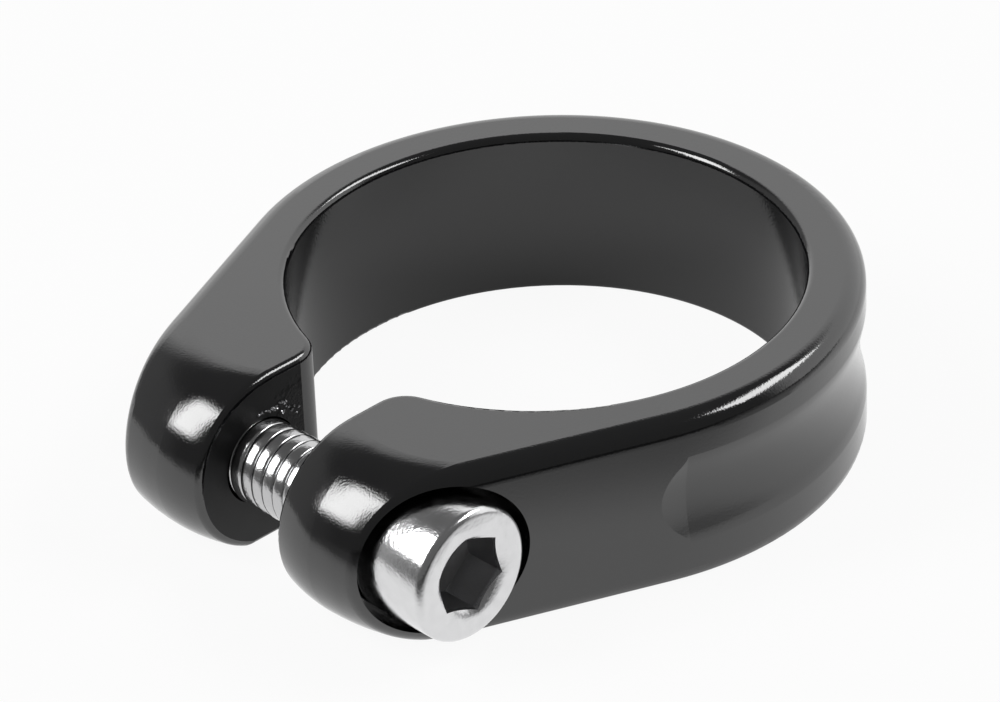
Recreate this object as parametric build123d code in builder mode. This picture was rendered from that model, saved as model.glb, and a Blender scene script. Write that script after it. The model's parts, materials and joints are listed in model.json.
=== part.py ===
from build123d import *
from math import atan2, cos, radians, sin, sqrt, tan
import os

os.makedirs("parts", exist_ok=True)

# Seatpost clamp, in millimetres. The bore axis is Z and Z = 0 lies halfway up the collar.
# The split and its two ears point along -Y, and the bolt lies along X with its head on +X.

# Collar
bore_diameter = 34.9
collar_wall = 3.95
collar_height = 12.3
flank_angle = 23.0
ear_reach = 28.8
ear_crown_radius = 16.2
ear_slot_fall = 1.4
slot_width = 7.5
slot_corner_radius = 2.4

# Edges of the collar: the outer edges are rounded all round before the lower face is
# cut to height, which leaves the lower edge crisper than the upper one.
outer_edge_radius = 1.4
lower_face_stock = 0.6
upper_bore_edge_radius = 0.5
lower_bore_edge_radius = 0.3

# Shallow hollow round the outside of the ring, with soft shoulders and a ramp towards each ear
groove_width = 7.2
groove_depth = 0.45
groove_shoulder_radius = 4.0
groove_end_angle = 24.5
groove_ramp_angle = 16.0

# Bolt: M6 socket head cap screw, its thread left as a plain cylinder
bolt_to_ear_end = 6.1
bolt_diameter = 6.0
bolt_length = 20.0
bolt_tip_chamfer = 0.8
head_diameter = 9.4
head_height = 6.0
head_bevel = 0.3
head_front = 16.2
socket_width = 5.0
socket_depth = 3.2
socket_turn = 39.0
socket_mouth_diameter = 6.2
socket_mouth_depth = 0.35
socket_point_angle = 120.0

# Clearances
thread_clearance = 0.05
shank_clearance = 0.3
counterbore_clearance = 0.7
head_seat_gap = 0.05
groove_overrun = 0.01

# Derived sizes of the collar
bore_radius = bore_diameter / 2
outer_radius = bore_radius + collar_wall
upper_face = collar_height / 2
lower_face = -collar_height / 2
stock_height = collar_height + lower_face_stock
stock_bottom = lower_face - lower_face_stock
flank = radians(flank_angle)
tangent_x = outer_radius * cos(flank)
tangent_y = -outer_radius * sin(flank)
ear_half_width = outer_radius / cos(flank) - ear_reach * tan(flank)
ear_end_radius = stock_height / 2
ear_end_z = upper_face - ear_end_radius
slot_corner_y = -sqrt(bore_radius**2 - slot_width**2 / 4)

# Ear end: a full round in the side view, crowned in the plan by two arcs that meet at its tip.
# The outer arc is tangent to the flank, and along the inner one the round starts further back
# towards the slot. Each arc is turned about an upright axis level with the tip.
crown_flat = ear_crown_radius - ear_end_radius
crown_y = ear_crown_radius - ear_reach
tip_x = (outer_radius - crown_flat + crown_y * sin(flank)) / cos(flank)
slot_crown_flat = ((tip_x - slot_width / 2) ** 2 + ear_slot_fall**2) / (2 * ear_slot_fall)
slot_crown_y = slot_crown_flat + ear_end_radius - ear_reach
behind_x = 2 * outer_radius
behind_y = crown_y - (behind_x - tip_x) * tan(flank)

# Derived sizes of the bolt, measured along X from the bore axis
bolt_offset = ear_reach - bolt_to_ear_end
under_head = head_front - head_height
head_seat = under_head - head_seat_gap
shank_tip = under_head - bolt_length
socket_floor = head_front - socket_depth
socket_point = socket_floor - socket_width / 2 / tan(radians(socket_point_angle / 2))
bolt_center = (0, -bolt_offset, 0)
bolt_axis = Axis(bolt_center, (1, 0, 0))
along_bolt = Plane(origin=bolt_center, x_dir=(1, 0, 0), z_dir=(0, 0, 1))
across_bolt = Plane(origin=bolt_center, x_dir=(0, 1, 0), z_dir=(1, 0, 0))

# Hollow round the ring. In its section a hollow arc bends over into a rounded shoulder on each
# side, whose crest lies just clear of the surface. At its ends it leaves along straight ramps.
groove_crest_x = groove_depth + groove_overrun
groove_crest_z = groove_width / 2
groove_turn = 2 * atan2(groove_crest_x, groove_crest_z)
groove_arc_radius = groove_crest_z / sin(groove_turn) - groove_shoulder_radius
groove_bend = (groove_arc_radius * (1 - cos(groove_turn)), groove_arc_radius * sin(groove_turn))
groove_reach = 4 * groove_depth
groove_end = radians(groove_end_angle)
groove_end_x = outer_radius * cos(groove_end)
groove_end_y = -outer_radius * sin(groove_end)
ramp = radians(groove_end_angle - groove_ramp_angle)
ramp_plane = Plane(
    origin=(groove_end_x, groove_end_y, 0),
    x_dir=(cos(ramp), -sin(ramp), 0),
    z_dir=(-sin(ramp), -cos(ramp), 0),
)
ramp_side_x = groove_end_x + groove_reach / 2 * cos(ramp)
ramp_side_y = groove_end_y - groove_reach / 2 * sin(ramp)
ramp_length = 2 * groove_depth / sin(radians(groove_ramp_angle))

with BuildSketch() as groove_section:
    with BuildLine():
        TangentArc((0, 0), groove_bend, tangent=(0, 1))
        TangentArc((groove_crest_x, groove_crest_z), groove_bend, tangent=(0, -1))
        Polyline((groove_crest_x, groove_crest_z), (groove_reach, groove_crest_z), (groove_reach, 0))
        mirror(about=Plane.XZ)
    make_face()

# All that the hollow leaves standing between its two ramps, on the ears' side
with BuildPart() as ramp_block:
    with BuildSketch(Plane.XY):
        with BuildLine():
            Polyline(
                (0, ramp_side_y + ramp_length * cos(ramp)),
                (ramp_side_x + ramp_length * sin(ramp), ramp_side_y + ramp_length * cos(ramp)),
                (ramp_side_x - ear_reach * sin(ramp), ramp_side_y - ear_reach * cos(ramp)),
                (0, ramp_side_y - ear_reach * cos(ramp)),
                close=True,
            )
        make_face()
    extrude(amount=upper_face, both=True)
    with BuildSketch(ramp_plane):
        add(groove_section.sketch)
    extrude(amount=2 * ear_reach, both=True, mode=Mode.SUBTRACT)
    mirror(about=Plane.YZ)

with BuildPart() as groove_cutter:
    with BuildSketch(Plane.XZ):
        with Locations((outer_radius - groove_depth, 0)):
            add(groove_section.sketch)
    revolve(axis=Axis.Z)
    add(ramp_block.part, mode=Mode.SUBTRACT)

# Reach of the ears: the crowned rounds of both ears and everything behind them
with BuildPart() as ear_limit:
    for flat, center_y, turn in ((crown_flat, crown_y, 1), (slot_crown_flat, slot_crown_y, -1)):
        center = (tip_x, center_y, 0)
        with BuildSketch(Plane(origin=center, x_dir=(0, -1, 0), z_dir=(-1, 0, 0))):
            with BuildLine():
                Polyline((flat, stock_bottom), (0, stock_bottom), (0, upper_face), (flat, upper_face))
                ThreePointArc((flat, upper_face), (flat + ear_end_radius, ear_end_z), (flat, stock_bottom))
            make_face()
        revolve(axis=Axis(center, (0, 0, turn)), revolution_arc=180)
    mirror(about=Plane.YZ)
    with BuildSketch(Plane.XY.offset(stock_bottom)):
        with BuildLine():
            Polyline(
                (0, slot_crown_y),
                (tip_x, slot_crown_y),
                (tip_x, crown_y),
                (behind_x, behind_y),
                (behind_x, behind_x),
                (0, behind_x),
                close=True,
            )
        make_face()
        mirror(about=Plane.YZ)
    extrude(amount=stock_height)

with BuildPart() as clamp_collar:
    # Plan: a round ring whose flanks run tangent to it towards the ear ends
    with BuildSketch(Plane.XY.offset(stock_bottom)):
        with BuildLine():
            ThreePointArc((tangent_x, tangent_y), (0, outer_radius), (-tangent_x, tangent_y))
            Polyline(
                (-tangent_x, tangent_y),
                (-ear_half_width, -ear_reach),
                (ear_half_width, -ear_reach),
                (tangent_x, tangent_y),
            )
        make_face()
    extrude(amount=stock_height)

    # Ear ends
    add(ear_limit.part, mode=Mode.INTERSECT)

    # Outer edges, then the lower face cut to height
    level_faces = clamp_collar.faces().filter_by(Axis.Z)
    flanks = (clamp_collar.faces().filter_by(GeomType.PLANE) - level_faces).sort_by(SortBy.AREA)[-2:]
    ring_wall = clamp_collar.faces().filter_by(GeomType.CYLINDER)
    outline = (flanks + ring_wall).edges()
    fillet(outline - outline.filter_by(Axis.Z), outer_edge_radius)
    split(bisect_by=Plane.XY.offset(lower_face), keep=Keep.TOP)

    # Hollow round the outside
    add(groove_cutter.part, mode=Mode.SUBTRACT)

    # Bore and slot, with the corners between them rounded
    with BuildSketch(Plane.XY):
        Circle(bore_radius)
        with Locations((0, -ear_reach / 2)):
            Rectangle(slot_width, ear_reach)
    extrude(amount=upper_face, both=True, mode=Mode.SUBTRACT)
    corners = clamp_collar.edges().filter_by(Axis.Z).filter_by_position(
        Axis.Y, slot_corner_y - slot_corner_radius, slot_corner_y + slot_corner_radius
    )
    fillet(corners, slot_corner_radius)

    # Upper edge of the bore, running on along the slot and round the ear ends, and lower edge
    slot_faces = clamp_collar.faces().filter_by(Axis.X)
    slot_top = slot_faces.edges().filter_by(Axis.Y).group_by(Axis.Z)[-1]
    fillet(slot_top, upper_bore_edge_radius)
    lower_circles = clamp_collar.faces().sort_by(Axis.Z)[0].edges().filter_by(GeomType.CIRCLE)
    fillet(lower_circles.sort_by(SortBy.RADIUS)[-1], lower_bore_edge_radius)

    # Bolt hole: counterbore and clearance hole in the near ear, tapped hole in the far one
    with BuildSketch(across_bolt.offset(head_seat)):
        Circle(head_diameter / 2 + counterbore_clearance)
    extrude(amount=outer_radius, mode=Mode.SUBTRACT)
    with BuildSketch(across_bolt):
        Circle(bolt_diameter / 2 + shank_clearance)
    extrude(amount=outer_radius, mode=Mode.SUBTRACT)
    with BuildSketch(across_bolt):
        Circle(bolt_diameter / 2 + thread_clearance)
    extrude(amount=-outer_radius, mode=Mode.SUBTRACT)

clamp_collar.part.label = "clamp_collar"
export_step(clamp_collar.part, "parts/clamp_collar.step")

with BuildPart() as clamp_bolt:
    # Shank and head, turned about the bolt axis
    with BuildSketch(along_bolt):
        with BuildLine():
            Polyline(
                (shank_tip, 0),
                (shank_tip, bolt_diameter / 2 - bolt_tip_chamfer),
                (shank_tip + bolt_tip_chamfer, bolt_diameter / 2),
                (under_head, bolt_diameter / 2),
                (under_head, head_diameter / 2),
                (head_front - head_bevel, head_diameter / 2),
                (head_front, head_diameter / 2 - head_bevel),
                (head_front, 0),
                close=True,
            )
        make_face()
    revolve(axis=bolt_axis)

    # Hexagon socket with a drill point in its floor and a conical mouth that clears its corners
    with BuildSketch(across_bolt.offset(head_front)):
        RegularPolygon(socket_width / 2, 6, major_radius=False, rotation=socket_turn)
    extrude(amount=-socket_depth, mode=Mode.SUBTRACT)
    with BuildSketch(along_bolt):
        with BuildLine():
            Polyline(
                (socket_point, 0),
                (socket_floor, socket_width / 2),
                (head_front - socket_mouth_depth, socket_width / 2),
                (head_front, socket_mouth_diameter / 2),
                (head_front, 0),
                close=True,
            )
        make_face()
    revolve(axis=bolt_axis, mode=Mode.SUBTRACT)

clamp_bolt.part.label = "clamp_bolt"
export_step(clamp_bolt.part, "parts/clamp_bolt.step")
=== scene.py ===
import json
import math

import bpy
from bpy.props import FloatProperty, FloatVectorProperty, IntProperty, PointerProperty
from mathutils import Matrix, Quaternion, Vector
from mathutils.kdtree import KDTree

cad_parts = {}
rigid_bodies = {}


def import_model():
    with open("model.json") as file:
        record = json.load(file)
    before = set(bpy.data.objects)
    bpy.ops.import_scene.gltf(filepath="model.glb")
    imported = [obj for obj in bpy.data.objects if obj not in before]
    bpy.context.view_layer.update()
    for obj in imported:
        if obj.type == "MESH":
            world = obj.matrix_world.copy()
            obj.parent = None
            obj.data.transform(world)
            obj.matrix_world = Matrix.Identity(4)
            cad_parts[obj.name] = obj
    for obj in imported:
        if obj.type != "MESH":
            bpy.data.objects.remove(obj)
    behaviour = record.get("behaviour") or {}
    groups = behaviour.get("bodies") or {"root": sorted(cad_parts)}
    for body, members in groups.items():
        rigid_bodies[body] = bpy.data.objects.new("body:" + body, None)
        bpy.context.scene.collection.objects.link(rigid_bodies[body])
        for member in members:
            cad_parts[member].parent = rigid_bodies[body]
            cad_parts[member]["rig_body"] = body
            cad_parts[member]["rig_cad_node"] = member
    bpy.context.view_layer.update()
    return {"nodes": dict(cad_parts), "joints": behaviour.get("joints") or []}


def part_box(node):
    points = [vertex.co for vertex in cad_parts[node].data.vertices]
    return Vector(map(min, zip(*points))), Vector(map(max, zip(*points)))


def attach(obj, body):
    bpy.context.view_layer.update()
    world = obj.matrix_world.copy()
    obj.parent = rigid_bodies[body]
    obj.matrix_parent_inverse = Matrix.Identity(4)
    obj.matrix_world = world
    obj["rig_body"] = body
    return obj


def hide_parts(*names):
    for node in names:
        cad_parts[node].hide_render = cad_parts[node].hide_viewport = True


bl_info = {
    "name": "Seatpost clamp",
    "version": (1, 0, 0),
    "blender": (4, 5, 0),
    "location": "3D View > Sidebar > Clamp",
    "description": "Dresses a split seatpost clamp and its bolt, and lights them in a small studio",
    "category": "Object",
}

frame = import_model()

MM = 0.001
# Points closer than this are one point
MERGE = 0.0005 * MM
# A gap too small to see, which keeps two faces from lying in each other
HAIR = 0.02 * MM

COLLAR_NODE = "clamp_collar"
COLLAR_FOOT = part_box(COLLAR_NODE)[0].z
# The slot leaves the bore at about this line and runs forward
SLOT_START_Y = -17 * MM

BOLT_NODE = "clamp_bolt"
BOLT_LOW, BOLT_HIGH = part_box(BOLT_NODE)
BOLT_AXIS_Y = frame["joints"][0]["pos_m"][1]
HEAD_RADIUS = (BOLT_HIGH.y - BOLT_LOW.y) / 2

# One ridge of the thread, between two narrow grooves: places along the pitch, and shares of its
# height. It rises quickly and falls off slowly towards the head.
RIDGE = (
    (0.0, 0.0), (0.03, 0.35), (0.06, 0.62), (0.1, 0.79), (0.18, 0.94), (0.28, 1.0), (0.36, 0.98),
    (0.5, 0.9), (0.64, 0.8), (0.78, 0.69), (0.88, 0.59), (0.93, 0.48), (0.97, 0.3), (1.0, 0.0),
)

# Crumbs that the tap left above its hole: y, z and radius, in millimetres
CRUMBS = (
    (-22.72, 3.46, 0.14), (-22.52, 3.52, 0.17), (-22.36, 3.42, 0.12), (-22.12, 3.50, 0.10),
    (-21.92, 3.42, 0.20), (-21.76, 3.32, 0.15), (-21.54, 3.44, 0.23), (-21.36, 3.30, 0.17),
    (-21.20, 3.44, 0.18), (-21.10, 3.22, 0.13), (-20.92, 3.60, 0.12), (-20.70, 3.54, 0.19),
    (-20.50, 3.38, 0.22), (-20.34, 3.46, 0.14), (-20.76, 2.86, 0.14), (-20.58, 2.78, 0.20),
    (-20.32, 3.06, 0.12), (-20.10, 2.92, 0.17), (-19.88, 2.54, 0.19), (-19.66, 2.78, 0.16),
    (-19.24, 2.52, 0.14), (-19.50, 2.20, 0.12),
)
# A crumb is flattened to these shares, and each is turned from the one before by these radians
CRUMB_SHAPE = (0.5, 1.0, 0.6)
CRUMB_TURN = (1.1, 0.4, 0.0)

# Range in which most values of a noise texture lie
NOISE_LOW, NOISE_HIGH = 0.3, 0.7
WHITE = (1, 1, 1, 1)
BLACK = (0, 0, 0, 1)


def linear(text):
    """The linear colour of an sRGB hex value."""
    shares = [int(text[i:i + 2], 16) / 255 for i in (1, 3, 5)]
    return tuple(c / 12.92 if c <= 0.04045 else ((c + 0.055) / 1.055) ** 2.4 for c in shares)


def length(name, description, millimetres):
    """A length property, in metres."""
    return FloatProperty(
        name=name, description=description, default=millimetres * MM, unit="LENGTH", precision=5
    )


def angle(name, description, degrees):
    """An angle property, in radians."""
    return FloatProperty(
        name=name, description=description, default=math.radians(degrees), subtype="ANGLE"
    )


def colour(name, description, text):
    """A colour property, from an sRGB hex value."""
    return FloatVectorProperty(
        name=name, description=description, default=linear(text), subtype="COLOR", min=0, max=1
    )


def strength(name, description, value):
    """A plain number property, such as a brightness."""
    return FloatProperty(name=name, description=description, default=value, min=0)


class CollarSettings(bpy.types.PropertyGroup):
    """What a user would change on the collar"""

    black: colour("Dye", "Colour of the dyed oxide film", "#0b0b0c")
    black_pale: colour("Dye, thin", "Colour where the dye took less", "#121213")
    slot_width: length("Slot width", "Distance between the ears", 7.5)
    grain: length("Grain", "Width of the fine pits that the etch leaves", 0.14)
    grain_depth: length("Grain depth", "Depth of those pits", 0.007)
    patch_grit: length("Patch grit", "Width of the tears in the rough patch by the tapped hole", 0.2)
    patch_depth: length("Patch depth", "Depth of those tears", 0.09)


class BoltSettings(bpy.types.PropertyGroup):
    """What a user would change on the bolt"""

    steel: colour("Steel", "Colour of the plated steel", "#dcdcdd")
    worn: colour("Thread steel", "Colour of the thread, duller than the head", "#bdbdbe")
    bare: colour("Socket steel", "Colour inside the socket, where the plating is thin", "#a9a9aa")
    dent: length("Dents", "Width of the dents that tumbling leaves", 0.22)
    dent_depth: length("Dent depth", "Depth of those dents", 0.014)
    head_height: length("Head height", "Height of the head", 6.0)
    head_bevel: length("Head bevel", "Width of the bevel round the head's face", 0.5)
    socket_width: length("Socket width", "Hexagon socket, across flats", 5.0)
    socket_depth: length("Socket depth", "Depth of the hexagon's flats", 3.2)
    socket_turn: angle("Socket turn", "How far the hexagon is turned about the bolt", 39.0)
    point_angle: angle("Drill point", "Angle of the drill point in the socket's floor", 120.0)
    mouth_width: length("Socket mouth", "Diameter of the conical mouth of the socket", 6.2)
    mouth_depth: length("Mouth depth", "Depth of the conical mouth", 0.35)
    thread_width: length("Thread", "Outer diameter of the thread", 5.92)
    thread_depth: length("Thread depth", "Height of the thread's ridges", 0.22)
    pitch: length("Pitch", "Distance from one ridge to the next", 1.0)
    neck_width: length("Neck", "Diameter of the plain neck under the head", 5.2)
    neck_length: length("Neck length", "Length of the plain neck under the head", 1.6)
    tip_chamfer: length("Tip chamfer", "Width of the chamfer at the tip", 0.8)
    segments: IntProperty(name="Segments", description="Facets round the bolt", default=96, min=24)


class StageSettings(bpy.types.PropertyGroup):
    """Camera, floor and lights"""

    azimuth: angle("Azimuth", "Camera, round the bore axis from the front", 47.198)
    elevation: angle("Elevation", "Camera, above the floor", 32.102)
    roll: angle("Roll", "Camera, about its own line of sight", -2.435)
    distance: length("Distance", "Camera, from the aimed-at point", 407.14)
    aside: length("Aside", "Camera, moved to its right", -3.508)
    above: length("Above", "Camera, moved up in its picture", 4.785)
    drop: length("Drop", "Height of the aimed-at point under the middle of the bore", 6.15)
    lens: FloatProperty(
        name="Lens", description="Focal length on a 36 mm sensor", default=215.65, unit="CAMERA"
    )
    floor_width: length("Floor", "Width of the floor", 6000)
    floor_white: colour("Floor colour", "Colour of the floor", "#d0d0d0")
    floor_glow: strength("Floor glow", "Share of the floor that stays white in a shadow", 0.93)
    key_light: strength("Left softbox", "Brightness of the softbox at the left", 10.5)
    back_light: strength("Back softbox", "Brightness of the strip behind at the right", 9.0)
    back_wall: strength("Back wall", "Brightness that the pale wall behind adds", 1.05)
    side_wall: strength("Side wall", "Brightness that the wall at the left adds", 0.22)
    front_dark: strength("Front", "Brightness of the dim room behind the camera", 0.14)


def towards(azimuth, elevation):
    """Unit vector from the clamp, azimuth in degrees from the front (-Y) towards +X."""
    a, e = math.radians(azimuth), math.radians(elevation)
    return Vector((math.sin(a) * math.cos(e), -math.cos(a) * math.cos(e), math.sin(e)))


def add_node(tree, kind, inputs=None, **settings):
    """Adds a node; each of its inputs takes a value, or the socket that feeds it."""
    made = tree.nodes.new(kind)
    for name, value in settings.items():
        setattr(made, name, value)
    for name, value in (inputs or {}).items():
        if isinstance(value, bpy.types.NodeSocket):
            tree.links.new(value, made.inputs[name])
        else:
            made.inputs[name].default_value = value
    return made


def new_material(name):
    """An empty node material, its tree and the place on the piece that its patterns read."""
    material = bpy.data.materials.new(name)
    material.use_nodes = True
    tree = material.node_tree
    tree.nodes.clear()
    return material, tree, add_node(tree, "ShaderNodeTexCoord").outputs["Object"]


def black_film(tree, place, settings, roughest, smoothest):
    """The dyed oxide film of both finishes of the collar: its colour, roughness and etched grain."""
    # The dye takes a little unevenly, over a few millimetres
    dye_cloud = 4 * MM
    cloud = add_node(
        tree, "ShaderNodeTexNoise", {"Vector": place, "Scale": 1 / dye_cloud, "Detail": 3.0}
    )
    dye = add_node(
        tree, "ShaderNodeMix",
        {"Factor": cloud.outputs["Fac"], "A": (*settings.black, 1), "B": (*settings.black_pale, 1)},
        data_type="RGBA",
    )
    # The sealed film is smoother in some places, about a millimetre wide, than in others
    seal_cloud = 1.4 * MM
    seal = add_node(
        tree, "ShaderNodeTexNoise", {"Vector": place, "Scale": 1 / seal_cloud, "Detail": 2.0}
    )
    roughness = add_node(
        tree, "ShaderNodeMapRange",
        {"Value": seal.outputs["Fac"], "From Min": NOISE_LOW, "From Max": NOISE_HIGH,
         "To Min": smoothest, "To Max": roughest},
    )
    # Real etch grain is finer than this; it is drawn as coarse as the picture can show
    grain = add_node(
        tree, "ShaderNodeTexNoise", {"Vector": place, "Scale": 1 / settings.grain, "Detail": 2.0}
    )
    pits = add_node(
        tree, "ShaderNodeBump",
        {"Strength": 1.0, "Distance": settings.grain_depth, "Height": grain.outputs["Fac"]},
    )
    return dye.outputs["Result"], roughness.outputs["Result"], pits.outputs["Normal"]


def anodised_aluminium(settings):
    """Aluminium, etched, dyed black, anodised and sealed: a hard glassy film over black, with a
    fine etched grain that breaks up the rims of its highlights."""
    material, tree, place = new_material("black_anodised_aluminium_gloss")
    dye, roughness, pits = black_film(tree, place, settings, roughest=0.105, smoothest=0.065)
    shader = add_node(
        tree, "ShaderNodeBsdfPrincipled",
        {"Base Color": dye, "Roughness": roughness, "Normal": pits, "IOR": 1.76},
    )
    add_node(tree, "ShaderNodeOutputMaterial", {"Surface": shader.outputs["BSDF"]})
    return material


def sawn_aluminium(settings):
    """The same black film on the sawn faces of the slot: dull, and it mirrors little. Beside the
    tapped hole the far face is rough, as the tap left it."""
    material, tree, place = new_material("black_anodised_aluminium_sawn")
    dye, roughness, pits = black_film(tree, place, settings, roughest=0.405, smoothest=0.365)

    # Rough patch on the far face, between the tapped hole and the bore: a ragged oval, which is
    # whole inside the first of these shares of its reach and ends at the second
    centre = (-settings.slot_width / 2, -19.0 * MM, 1.6 * MM)
    reach = (0.9 * MM, 2.6 * MM, 3.4 * MM)
    whole, end = 1.2, 1.45
    rag_width, rag_share = 0.9 * MM, 0.9
    inside = add_node(
        tree, "ShaderNodeMapping",
        {"Vector": place, "Location": centre, "Scale": reach}, vector_type="TEXTURE",
    )
    away = add_node(tree, "ShaderNodeVectorMath", {0: inside.outputs["Vector"]}, operation="LENGTH")
    rags = add_node(
        tree, "ShaderNodeTexNoise", {"Vector": place, "Scale": 1 / rag_width, "Detail": 3.0}
    )
    ragged = add_node(
        tree, "ShaderNodeMath",
        {0: rags.outputs["Fac"], 1: rag_share, 2: away.outputs["Value"]}, operation="MULTIPLY_ADD",
    )
    patch = add_node(
        tree, "ShaderNodeMapRange",
        {"Value": ragged.outputs["Value"], "From Min": whole, "From Max": end,
         "To Min": 1.0, "To Max": 0.0},
        interpolation_type="SMOOTHSTEP",
    )
    tears = add_node(
        tree, "ShaderNodeTexNoise",
        {"Vector": place, "Scale": 1 / settings.patch_grit, "Detail": 4.0, "Roughness": 0.65},
    )
    torn = add_node(
        tree, "ShaderNodeMath",
        {0: tears.outputs["Fac"], 1: patch.outputs["Result"]}, operation="MULTIPLY",
    )
    relief = add_node(
        tree, "ShaderNodeBump",
        {"Strength": 1.0, "Distance": settings.patch_depth, "Height": torn.outputs["Value"],
         "Normal": pits},
    )
    shader = add_node(
        tree, "ShaderNodeBsdfPrincipled",
        {"Base Color": dye, "Roughness": roughness, "Normal": relief.outputs["Normal"],
         "IOR": 1.76, "Specular IOR Level": 0.14},
    )
    add_node(tree, "ShaderNodeOutputMaterial", {"Surface": shader.outputs["BSDF"]})
    return material


def bright_steel(settings):
    """Cold-headed steel, plated and tumbled bright: a mirror whose reflections are broken by soft
    dents, with faint turning marks round its face. The thread is duller, and so is the socket,
    which the plating hardly reaches."""
    material, tree, place = new_material("bright_plated_steel")
    centred = add_node(
        tree, "ShaderNodeMapping",
        {"Vector": place, "Location": (0, BOLT_AXIS_Y, 0)}, vector_type="TEXTURE",
    ).outputs["Vector"]
    across = add_node(
        tree, "ShaderNodeVectorMath", {0: centred, 1: (0, 1, 1)}, operation="MULTIPLY"
    )
    off_axis = add_node(tree, "ShaderNodeVectorMath", {0: across.outputs["Vector"]}, operation="LENGTH")
    along = add_node(tree, "ShaderNodeSeparateXYZ", {"Vector": place}).outputs["X"]
    front = BOLT_HIGH.x

    # The plating is hazy in places, about a millimetre wide, and a little darker there
    haze_cloud = 0.9 * MM
    hazy = [0.9 * share for share in settings.steel]
    haze = add_node(
        tree, "ShaderNodeTexNoise", {"Vector": place, "Scale": 1 / haze_cloud, "Detail": 3.0}
    )
    roughness = add_node(
        tree, "ShaderNodeMapRange",
        {"Value": haze.outputs["Fac"], "From Min": NOISE_LOW, "From Max": NOISE_HIGH,
         "To Min": 0.13, "To Max": 0.22},
    )
    tint = add_node(
        tree, "ShaderNodeMix",
        {"Factor": haze.outputs["Fac"], "A": (*settings.steel, 1), "B": (*hazy, 1)},
        data_type="RGBA",
    )

    # Everything behind the head is thread
    threaded = add_node(
        tree, "ShaderNodeMath", {0: along, 1: front - settings.head_height}, operation="LESS_THAN"
    )
    tint = add_node(
        tree, "ShaderNodeMix",
        {"Factor": threaded.outputs["Value"], "A": tint.outputs["Result"], "B": (*settings.worn, 1)},
        data_type="RGBA",
    )

    # Socket: what lies inside its corners, from under its mouth down to past its drill point
    corners = settings.socket_width / math.sqrt(3)
    plated_to, bare_from, deepest = 0.4 * MM, 0.7 * MM, 5 * MM
    within = add_node(
        tree, "ShaderNodeMapRange",
        {"Value": off_axis.outputs["Value"], "From Min": corners, "From Max": corners + 0.1 * MM,
         "To Min": 1.0, "To Max": 0.0},
    )
    sunk = add_node(
        tree, "ShaderNodeMapRange",
        {"Value": along, "From Min": front - bare_from, "From Max": front - plated_to,
         "To Min": 1.0, "To Max": 0.0},
    )
    ahead = add_node(tree, "ShaderNodeMath", {0: along, 1: front - deepest}, operation="GREATER_THAN")
    socket = add_node(
        tree, "ShaderNodeMath",
        {0: within.outputs["Result"], 1: sunk.outputs["Result"]}, operation="MULTIPLY",
    )
    socket = add_node(
        tree, "ShaderNodeMath",
        {0: socket.outputs["Value"], 1: ahead.outputs["Value"]}, operation="MULTIPLY",
    )
    tint = add_node(
        tree, "ShaderNodeMix",
        {"Factor": socket.outputs["Value"], "A": tint.outputs["Result"], "B": (*settings.bare, 1)},
        data_type="RGBA",
    )
    socket_roughness = 0.16
    roughness = add_node(
        tree, "ShaderNodeMath",
        {0: socket.outputs["Value"], 1: socket_roughness, 2: roughness.outputs["Result"]},
        operation="MULTIPLY_ADD",
    )

    # Tumbling leaves dents, and turning leaves rings round the axis. A ring wave of scale 1 repeats
    # after 2 pi / 20.
    ring_width, ring_depth = 0.237 * MM, 0.0012 * MM
    dents = add_node(
        tree, "ShaderNodeTexNoise", {"Vector": place, "Scale": 1 / settings.dent, "Detail": 2.0}
    )
    rings = add_node(
        tree, "ShaderNodeTexWave",
        {"Vector": centred, "Scale": 2 * math.pi / 20 / ring_width, "Distortion": 1.2},
        wave_type="RINGS", rings_direction="X",
    )
    dented = add_node(
        tree, "ShaderNodeBump",
        {"Strength": 1.0, "Distance": settings.dent_depth, "Height": dents.outputs["Fac"]},
    )
    turned = add_node(
        tree, "ShaderNodeBump",
        {"Strength": 0.4, "Distance": ring_depth, "Height": rings.outputs["Fac"],
         "Normal": dented.outputs["Normal"]},
    )
    shader = add_node(
        tree, "ShaderNodeBsdfPrincipled",
        {"Base Color": tint.outputs["Result"], "Metallic": 1.0, "Roughness": roughness.outputs["Value"],
         "Normal": turned.outputs["Normal"]},
    )
    add_node(tree, "ShaderNodeOutputMaterial", {"Surface": shader.outputs["BSDF"]})
    return material


def torn_aluminium():
    """Bare aluminium as the tap tore it off: bright facets beside smeared, duller ones."""
    material, tree, place = new_material("torn_bare_aluminium")
    smear_width = 0.1 * MM
    smear = add_node(
        tree, "ShaderNodeTexNoise", {"Vector": place, "Scale": 1 / smear_width, "Detail": 2.0}
    )
    tint = add_node(
        tree, "ShaderNodeMix",
        {"Factor": smear.outputs["Fac"], "A": (*linear("#c4c4c6"), 1), "B": (*linear("#8a8a8c"), 1)},
        data_type="RGBA",
    )
    roughness = add_node(
        tree, "ShaderNodeMapRange",
        {"Value": smear.outputs["Fac"], "From Min": NOISE_LOW, "From Max": NOISE_HIGH,
         "To Min": 0.15, "To Max": 0.4},
    )
    shader = add_node(
        tree, "ShaderNodeBsdfPrincipled",
        {"Base Color": tint.outputs["Result"], "Metallic": 1.0, "Roughness": roughness.outputs["Result"]},
    )
    add_node(tree, "ShaderNodeOutputMaterial", {"Surface": shader.outputs["BSDF"]})
    return material


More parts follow.
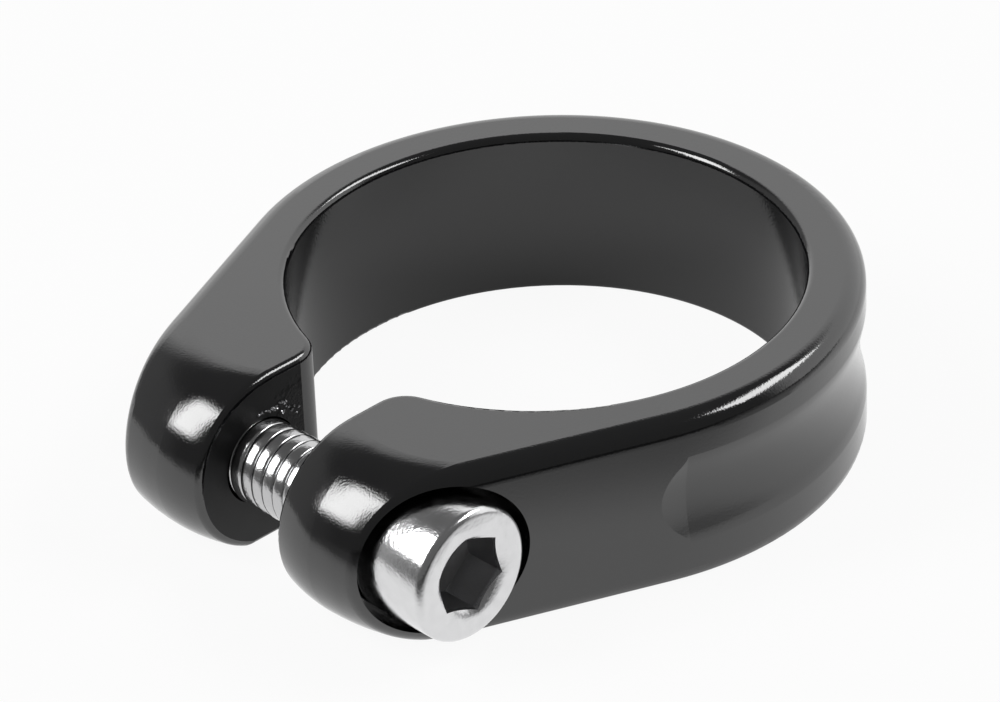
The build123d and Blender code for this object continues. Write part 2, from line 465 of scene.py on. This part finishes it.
def white_paper(settings):
    """Pale paper under the clamp, white to the camera, with the clamp's shadow. In reflections it has
    a painted pool of light round the clamp, which fades towards the dim side of the room, in front
    and at the right, and a painted shadow of the near ear inside the ring."""
    material, tree, place = new_material("pale_paper")
    path = add_node(tree, "ShaderNodeLightPath")
    seen = path.outputs["Is Camera Ray"]
    mirrored = add_node(
        tree, "ShaderNodeMath",
        {0: path.outputs["Is Glossy Ray"], 1: path.outputs["Is Transmission Ray"]}, operation="MAXIMUM",
    )

    # Painted shadow of the near ear inside the ring, which the slot's far face mirrors: its middle, the
    # distances between which it fades out, and its darkest tone
    painted_shadow_middle = (10 * MM, -14.5 * MM, 0)
    painted_shadow_near, painted_shadow_far, painted_shadow_tone = 2.5 * MM, 5.5 * MM, 0.08
    away = add_node(tree, "ShaderNodeVectorMath", {0: place, 1: painted_shadow_middle}, operation="DISTANCE")
    painted_tone = add_node(
        tree, "ShaderNodeMapRange",
        {"Value": away.outputs["Value"], "From Min": painted_shadow_near, "From Max": painted_shadow_far,
         "To Min": painted_shadow_tone, "To Max": 1.0},
    ).outputs["Result"]

    # Painted falloff of light in reflections: azimuth of each dim side, the distances in millimetres
    # between which it fades, and its tone
    for azimuth, near, far, dim in ((75, 28, 38, 0.52), (75, 38, 88, 0.35), (35, 34, 62, 0.25)):
        aside = add_node(
            tree, "ShaderNodeVectorMath", {0: place, 1: towards(azimuth, 0)}, operation="DOT_PRODUCT"
        )
        painted_fade = add_node(
            tree, "ShaderNodeMapRange",
            {"Value": aside.outputs["Value"], "From Min": near * MM, "From Max": far * MM,
             "To Min": 1.0, "To Max": dim},
            interpolation_type="SMOOTHSTEP",
        )
        painted_tone = add_node(
            tree, "ShaderNodeMath", {0: painted_tone, 1: painted_fade.outputs["Result"]}, operation="MULTIPLY"
        ).outputs["Value"]
    # Camera rays see the paper evenly white; the painted shadow and painted falloff reach only other rays
    painted_tone = add_node(tree, "ShaderNodeMath", {0: seen, 1: painted_tone}, operation="MAXIMUM").outputs["Value"]

    # The glow in reflections is full outside the ring and weaker within it, where the paper is shaded
    ring_inside, ring_outside, shaded_glow = 17 * MM, 22 * MM, 0.3
    out = add_node(tree, "ShaderNodeVectorMath", {0: place}, operation="LENGTH")
    beside = add_node(
        tree, "ShaderNodeMapRange",
        {"Value": out.outputs["Value"], "From Min": ring_inside, "From Max": ring_outside,
         "To Min": shaded_glow, "To Max": 1.0},
    )
    glow = add_node(
        tree, "ShaderNodeMath",
        {0: mirrored.outputs["Value"], 1: beside.outputs["Result"]}, operation="MULTIPLY",
    )
    share = add_node(
        tree, "ShaderNodeMath",
        {0: seen, 1: settings.floor_glow, 2: glow.outputs["Value"]}, operation="MULTIPLY_ADD",
    )
    pale = add_node(
        tree, "ShaderNodeMix", {"Factor": painted_tone, "A": BLACK, "B": (*settings.floor_white, 1)},
        data_type="RGBA",
    )
    paper = add_node(tree, "ShaderNodeBsdfDiffuse", {"Color": pale.outputs["Result"]})
    # Glow: even white to the camera, and the painted pool of light and painted shadow in reflections
    white_and_painted_glow = add_node(tree, "ShaderNodeEmission", {"Color": WHITE, "Strength": painted_tone})
    both = add_node(
        tree, "ShaderNodeMixShader",
        {"Fac": share.outputs["Value"], 1: paper.outputs["BSDF"], 2: white_and_painted_glow.outputs["Emission"]},
    )
    add_node(tree, "ShaderNodeOutputMaterial", {"Surface": both.outputs["Shader"]})
    return material


def only(piece):
    """Makes a piece the one that is selected and active."""
    bpy.ops.object.select_all(action="DESELECT")
    piece.select_set(True)
    bpy.context.view_layer.objects.active = piece


def everywhere(co):
    """A test that every point passes."""
    return True


def pick(piece, kind, wanted):
    """Enters edit mode with those vertices, edges or faces of a piece selected that pass a test: a
    vertex by its place, an edge by both its ends and a face by its middle."""
    only(piece)
    mesh = piece.data
    for group in (mesh.vertices, mesh.edges, mesh.polygons):
        group.foreach_set("select", [False] * len(group))
    if kind == "VERT":
        for vertex in mesh.vertices:
            vertex.select = wanted(vertex.co)
    elif kind == "EDGE":
        for edge in mesh.edges:
            a, b = (mesh.vertices[i].co for i in edge.vertices)
            edge.select = wanted(a) and wanted(b)
    else:
        for face in mesh.polygons:
            face.select = wanted(face.center)
    bpy.ops.object.mode_set(mode="EDIT")
    bpy.ops.mesh.select_mode(type=kind)


def leave_edit():
    """Back to object mode."""
    bpy.ops.object.mode_set(mode="OBJECT")


def apply_modifier(piece, kind, **settings):
    """Adds a modifier with its settings and applies it."""
    only(piece)
    bpy.ops.object.modifier_add(type=kind)
    modifier = piece.modifiers[-1]
    for name, value in settings.items():
        setattr(modifier, name, value)
    bpy.ops.object.modifier_apply(modifier=modifier.name)


def combine(piece, other, operation):
    """Cuts one solid with another, or joins them, and removes the second."""
    apply_modifier(piece, "BOOLEAN", operation=operation, object=other, solver="EXACT")
    bpy.data.objects.remove(other)


def set_in_frame(piece):
    """Puts a piece's place and turn into its mesh."""
    only(piece)
    bpy.ops.object.transform_apply(location=True, rotation=True, scale=True)


def tidy_mesh(piece):
    """Merges doubled points and turns all faces outwards."""
    pick(piece, "VERT", everywhere)
    bpy.ops.mesh.remove_doubles(threshold=MERGE)
    bpy.ops.mesh.normals_make_consistent(inside=False)
    leave_edit()


def corner_marks(mesh):
    """For each face corner a point a little way into its face, so that no two share one."""
    inwards = 0.2
    return [
        mesh.vertices[mesh.loops[i].vertex_index].co.lerp(face.center, inwards)
        for face in mesh.polygons for i in face.loop_indices
    ]


def copy_normals(source, target):
    """Gives each face corner of a merged copy the normal that the same corner had before."""
    marks = KDTree(len(source.loops))
    for i, point in enumerate(corner_marks(source)):
        marks.insert(point, i)
    marks.balance()
    found = [marks.find(point)[1] for point in corner_marks(target)]
    target.normals_split_custom_set([source.corner_normals[i].vector for i in found])


def wear(piece, material):
    """Gives a piece one material all over."""
    piece.data.materials.clear()
    piece.data.materials.append(material)


def along_bolt(segments, x_from, x_to, radius_from, radius_to, turn=0.0):
    """A cone on the bolt's axis from one x to another, or a cylinder where its radii are the same."""
    bpy.ops.mesh.primitive_cone_add(
        vertices=segments, radius1=radius_from, radius2=radius_to, depth=x_to - x_from,
        rotation=(0, math.pi / 2, 0),
    )
    piece = bpy.context.object
    set_in_frame(piece)
    piece.rotation_euler.x = turn
    piece.location = ((x_from + x_to) / 2, BOLT_AXIS_Y, 0)
    set_in_frame(piece)
    return piece


class CLAMP_OT_make_collar(bpy.types.Operator):
    """Makes the collar from the solid's facets, merged and smooth, with its black finishes"""

    bl_idname = "clamp.make_collar"
    bl_label = "Make collar"

    def execute(self, context):
        settings = context.scene.clamp_collar
        solid = frame["nodes"][COLLAR_NODE]
        only(solid)
        bpy.ops.object.duplicate()
        collar = context.object
        bpy.ops.object.parent_clear(type="CLEAR_KEEP_TRANSFORM")
        collar.name = "collar"
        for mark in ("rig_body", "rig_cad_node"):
            del collar[mark]
        only(collar)
        bpy.ops.mesh.customdata_custom_splitnormals_clear()
        pick(collar, "VERT", everywhere)
        bpy.ops.mesh.remove_doubles(threshold=MERGE)
        leave_edit()
        bpy.ops.object.shade_smooth()
        copy_normals(solid.data, collar.data)

        # Glossy all over, apart from the two faces of the slot
        side = settings.slot_width / 2
        wear(collar, anodised_aluminium(settings))
        collar.data.materials.append(sawn_aluminium(settings))
        pick(collar, "FACE", lambda co: abs(abs(co.x) - side) < MERGE and co.y < SLOT_START_Y)
        collar.active_material_index = 1
        bpy.ops.object.material_slot_assign()
        leave_edit()
        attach(collar, "collar")
        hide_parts(COLLAR_NODE)
        return {"FINISHED"}


class CLAMP_OT_make_crumbs(bpy.types.Operator):
    """Makes the crumbs that the tap left on the slot's far face, above the tapped hole"""

    bl_idname = "clamp.make_crumbs"
    bl_label = "Make crumbs"

    def execute(self, context):
        far_face = -context.scene.clamp_collar.slot_width / 2
        bpy.ops.object.select_all(action="DESELECT")
        made = []
        for i, (y, z, radius) in enumerate(CRUMBS):
            bpy.ops.mesh.primitive_ico_sphere_add(subdivisions=1, radius=radius * MM)
            crumb = context.object
            crumb.scale = CRUMB_SHAPE
            crumb.rotation_euler = [i * turn for turn in CRUMB_TURN]
            crumb.location = (far_face, y * MM, z * MM)
            set_in_frame(crumb)
            made.append(crumb)
        only(made[0])
        for crumb in made:
            crumb.select_set(True)
        bpy.ops.object.join()
        crumbs = context.object
        crumbs.name = "tap_crumbs"
        tidy_mesh(crumbs)
        wear(crumbs, torn_aluminium())
        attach(crumbs, "collar")
        return {"FINISHED"}


class CLAMP_OT_make_bolt(bpy.types.Operator):
    """Makes the socket head bolt, with its hexagon and its thread"""

    bl_idname = "clamp.make_bolt"
    bl_label = "Make bolt"

    def head(self, size):
        """Head with bevelled rims and a hexagon socket, which has a conical mouth and a drill point."""
        front = BOLT_HIGH.x
        under = front - size.head_height
        head = along_bolt(size.segments, under, front, HEAD_RADIUS, HEAD_RADIUS)
        head.name = "bolt"
        for rim, width, steps in ((front, size.head_bevel, 6), (under, size.head_bevel / 2, 3)):
            pick(head, "EDGE", lambda co: abs(co.x - rim) < MERGE)
            bpy.ops.mesh.bevel(offset=width, segments=steps, affect="EDGES")
            leave_edit()

        # The cutters for the hexagon and for its mouth stand proud of the head by the mouth's depth
        floor = front - size.socket_depth
        flats = size.socket_width / 2
        corners = flats / math.cos(math.pi / 6)
        proud = front + size.mouth_depth
        flare = size.mouth_width - size.socket_width
        hexagon = along_bolt(6, floor, proud, corners, corners, size.socket_turn)
        combine(head, hexagon, "DIFFERENCE")
        mouth = along_bolt(size.segments, front - size.mouth_depth, proud, flats, flats + flare)
        combine(head, mouth, "DIFFERENCE")

        # A drill with a blunt tip and a short body, a hair slimmer than the flats
        point = flats / math.tan(size.point_angle / 2)
        body = 0.3 * MM
        drill = along_bolt(size.segments, floor - point, floor, HAIR, flats - HAIR)
        pick(drill, "FACE", lambda co: co.x > floor - MERGE)
        bpy.ops.mesh.extrude_region_move(TRANSFORM_OT_translate={"value": (body, 0, 0)})
        leave_edit()
        combine(head, drill, "DIFFERENCE")
        return head

    def neck(self, size):
        """Plain neck, which reaches into the head and into the thread, a hair slimmer than its end."""
        into_head, into_thread = 0.2 * MM, 0.4 * MM
        under = BOLT_HIGH.x - size.head_height
        radius = size.neck_width / 2 - HAIR
        return along_bolt(
            size.segments, under - size.neck_length - into_thread, under + into_head, radius, radius
        )

    def thread(self, size):
        """One ridge drawn as a line, wound along the axis, cut off square, and run out at both ends."""
        tip = BOLT_LOW.x
        neck_end = BOLT_HIGH.x - size.head_height - size.neck_length
        crest = size.thread_width / 2
        root = crest - size.thread_depth
        # It starts before the tip, by a share of turns that keeps its points off the plane of the cut
        lead_turns = 2.1371
        start = tip - lead_turns * size.pitch
        bpy.ops.object.select_all(action="DESELECT")
        bpy.ops.mesh.primitive_plane_add(size=size.pitch)
        thread = bpy.context.object
        pick(thread, "VERT", everywhere)
        bpy.ops.mesh.merge(type="CENTER")
        bpy.ops.transform.translate(value=(start, 0, root))
        for (place, height), (next_place, next_height) in zip(RIDGE, RIDGE[1:]):
            step = ((next_place - place) * size.pitch, 0, (next_height - height) * size.thread_depth)
            bpy.ops.mesh.extrude_vertices_move(TRANSFORM_OT_translate={"value": step})
        leave_edit()
        apply_modifier(
            thread, "SCREW", axis="X", angle=2 * math.pi, screw_offset=size.pitch,
            iterations=math.ceil((neck_end - start) / size.pitch) + 1,
            steps=size.segments, render_steps=size.segments,
            use_merge_vertices=True, merge_threshold=MERGE,
        )
        thread.location = (0, BOLT_AXIS_Y, 0)
        set_in_frame(thread)
        tidy_mesh(thread)
        for end, outwards in ((tip, -1), (neck_end - MERGE, 1)):
            pick(thread, "VERT", everywhere)
            bpy.ops.mesh.bisect(
                plane_co=(end, BOLT_AXIS_Y, 0), plane_no=(outwards, 0, 0),
                use_fill=True, clear_outer=True, threshold=MERGE / 10,
            )
            leave_edit()

        # No point stands out further than the chamfer at the tip and the slope down to the neck allow
        chamfer_slope, neck_slope = 1.0, 0.6
        for vertex in thread.data.vertices:
            co = vertex.co
            room = min(
                crest - size.tip_chamfer + chamfer_slope * (co.x - tip),
                size.neck_width / 2 + neck_slope * (neck_end - co.x),
            )
            away = math.hypot(co.y - BOLT_AXIS_Y, co.z)
            if away > room:
                co.y = BOLT_AXIS_Y + (co.y - BOLT_AXIS_Y) * room / away
                co.z = co.z * room / away
        return thread

    def execute(self, context):
        size = context.scene.clamp_bolt
        bolt = self.head(size)
        combine(bolt, self.neck(size), "UNION")
        combine(bolt, self.thread(size), "UNION")
        tidy_mesh(bolt)
        only(bolt)
        bpy.ops.object.shade_smooth_by_angle(angle=math.radians(40))
        wear(bolt, bright_steel(size))
        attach(bolt, "bolt")
        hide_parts(BOLT_NODE)
        return {"FINISHED"}


class CLAMP_OT_set_stage(bpy.types.Operator):
    """Sets the floor, the lights, the surroundings and the camera"""

    bl_idname = "clamp.set_stage"
    bl_label = "Set stage"

    def floor(self, stage):
        """Pale paper that the clamp lies on, a hair under its lower face."""
        bpy.ops.object.select_all(action="DESELECT")
        bpy.ops.mesh.primitive_plane_add(size=stage.floor_width, location=(0, 0, COLLAR_FOOT - HAIR))
        floor = bpy.context.object
        floor.name = "floor"
        wear(floor, white_paper(stage))

    def softbox(self, name, azimuth, elevation, roll, distance, width, height, rim, brightness):
        """A rectangular lamp that faces the clamp: angles in degrees, sizes in metres, and the share
        of its width and height over which it dims towards its rim."""
        back = towards(azimuth, elevation)
        facing = Quaternion(back, math.radians(roll)) @ (-back).to_track_quat("-Z", "Y")
        bpy.ops.object.light_add(type="AREA", location=back * distance, rotation=facing.to_euler())
        lamp = bpy.context.object
        lamp.name = name
        lamp.data.shape = "RECTANGLE"
        lamp.data.size = width
        lamp.data.size_y = height
        lamp.data.energy = brightness * math.pi * width * height
        lamp.data.use_nodes = True
        tree = lamp.data.node_tree
        tree.nodes.clear()
        across = add_node(tree, "ShaderNodeNewGeometry").outputs["Parametric"]
        spread = add_node(tree, "ShaderNodeSeparateXYZ", {"Vector": across})
        # Places on the lamp run from 0 to 1
        middle = 0.5
        light = 1.0
        for side in ("X", "Y"):
            away = add_node(
                tree, "ShaderNodeMath", {0: spread.outputs[side], 1: middle}, operation="SUBTRACT"
            )
            away = add_node(tree, "ShaderNodeMath", {0: away.outputs["Value"]}, operation="ABSOLUTE")
            inside = add_node(
                tree, "ShaderNodeMapRange",
                {"Value": away.outputs["Value"], "From Min": middle - rim, "From Max": middle,
                 "To Min": 1.0, "To Max": 0.0},
                interpolation_type="SMOOTHSTEP",
            )
            light = add_node(
                tree, "ShaderNodeMath", {0: inside.outputs["Result"], 1: light}, operation="MULTIPLY"
            ).outputs["Value"]
        glow = add_node(tree, "ShaderNodeEmission", {"Color": WHITE, "Strength": light})
        add_node(tree, "ShaderNodeOutputLight", {"Surface": glow.outputs["Emission"]})

    def surroundings(self, stage):
        """A pale wall behind the clamp, a dimmer one at the left and a dim room behind the camera;
        white to the camera itself."""
        world = bpy.data.worlds.new("studio")
        world.use_nodes = True
        bpy.context.scene.world = world
        tree = world.node_tree
        tree.nodes.clear()
        place = add_node(tree, "ShaderNodeTexCoord").outputs["Generated"]
        height = add_node(tree, "ShaderNodeSeparateXYZ", {"Vector": place}).outputs["Z"]
        # The walls end at a dark ceiling, from about 37 to 46 degrees up, given as sines
        wall_top, ceiling = 0.60, 0.72
        under = add_node(
            tree, "ShaderNodeMapRange",
            {"Value": height, "From Min": wall_top, "From Max": ceiling, "To Min": 1.0, "To Max": 0.0},
            interpolation_type="SMOOTHSTEP",
        ).outputs["Result"]
        # Azimuth of each wall, where it starts and is full, given as cosines, and its brightness
        walls = ((-165, 0.3, 0.55, stage.back_wall), (-85, 0.5, 0.85, stage.side_wall))
        light = stage.front_dark
        for azimuth, starts, full, brightness in walls:
            facing = add_node(
                tree, "ShaderNodeVectorMath", {0: place, 1: towards(azimuth, 0)}, operation="DOT_PRODUCT"
            )
            across = add_node(
                tree, "ShaderNodeMapRange",
                {"Value": facing.outputs["Value"], "From Min": starts, "From Max": full,
                 "To Min": 0.0, "To Max": brightness},
                interpolation_type="SMOOTHSTEP",
            )
            light = add_node(
                tree, "ShaderNodeMath",
                {0: across.outputs["Result"], 1: under, 2: light}, operation="MULTIPLY_ADD",
            ).outputs["Value"]
        room = add_node(tree, "ShaderNodeBackground", {"Color": WHITE, "Strength": light})
        white = add_node(tree, "ShaderNodeBackground", {"Color": WHITE, "Strength": 1.0})
        seen = add_node(tree, "ShaderNodeLightPath").outputs["Is Camera Ray"]
        both = add_node(
            tree, "ShaderNodeMixShader",
            {"Fac": seen, 1: room.outputs["Background"], 2: white.outputs["Background"]},
        )
        add_node(tree, "ShaderNodeOutputWorld", {"Surface": both.outputs["Shader"]})

    def camera(self, stage):
        """Camera at the photograph's angle, with its long lens."""
        back = towards(math.degrees(stage.azimuth), math.degrees(stage.elevation))
        right = Vector((math.cos(stage.azimuth), math.sin(stage.azimuth), 0))
        up = back.cross(right)
        cosine, sine = math.cos(stage.roll), math.sin(stage.roll)
        right, up = cosine * right + sine * up, cosine * up - sine * right
        aim = Vector((0, 0, -stage.drop))
        place = aim + back * stage.distance + right * stage.aside + up * stage.above
        turn = Matrix((right, up, back)).transposed()
        bpy.ops.object.camera_add()
        camera = bpy.context.object
        camera.name = "camera"
        camera.matrix_world = Matrix.Translation(place) @ turn.to_4x4()
        camera.data.sensor_fit = "HORIZONTAL"
        camera.data.sensor_width = 36
        camera.data.lens = stage.lens
        bpy.context.scene.camera = camera

    def execute(self, context):
        stage = context.scene.clamp_stage
        self.floor(stage)
        self.softbox(
            "softbox_left", azimuth=-36, elevation=39.5, roll=13, distance=0.7,
            width=0.31, height=0.54, rim=0.22, brightness=stage.key_light,
        )
        self.softbox(
            "softbox_back", azimuth=147, elevation=48, roll=0, distance=0.7,
            width=0.50, height=0.19, rim=0.05, brightness=stage.back_light,
        )
        self.surroundings(stage)
        self.camera(stage)
        context.scene.view_settings.view_transform = "Standard"
        return {"FINISHED"}


class CLAMP_PT_pieces(bpy.types.Panel):
    """Sizes, colours and operators of the clamp"""

    bl_idname = "CLAMP_PT_pieces"
    bl_label = "Seatpost clamp"
    bl_space_type = "VIEW_3D"
    bl_region_type = "UI"
    bl_category = "Clamp"

    def draw(self, context):
        scene = context.scene
        for settings, operators in (
            (scene.clamp_collar, (CLAMP_OT_make_collar, CLAMP_OT_make_crumbs)),
            (scene.clamp_bolt, (CLAMP_OT_make_bolt,)),
            (scene.clamp_stage, (CLAMP_OT_set_stage,)),
        ):
            box = self.layout.box()
            for operator in operators:
                box.operator(operator.bl_idname)
            for name in settings.__annotations__:
                box.prop(settings, name)


GROUPS = {"clamp_collar": CollarSettings, "clamp_bolt": BoltSettings, "clamp_stage": StageSettings}
CLASSES = (
    *GROUPS.values(),
    CLAMP_OT_make_collar, CLAMP_OT_make_crumbs, CLAMP_OT_make_bolt, CLAMP_OT_set_stage,
    CLAMP_PT_pieces,
)


def register():
    for made in CLASSES:
        bpy.utils.register_class(made)
    for name, group in GROUPS.items():
        setattr(bpy.types.Scene, name, PointerProperty(type=group))


def unregister():
    for name in GROUPS:
        delattr(bpy.types.Scene, name)
    for made in reversed(CLASSES):
        bpy.utils.unregister_class(made)


def main():
    register()
    bpy.ops.clamp.make_collar()
    bpy.ops.clamp.make_crumbs()
    bpy.ops.clamp.make_bolt()
    bpy.ops.clamp.set_stage()


if __name__ == "__main__":
    main()
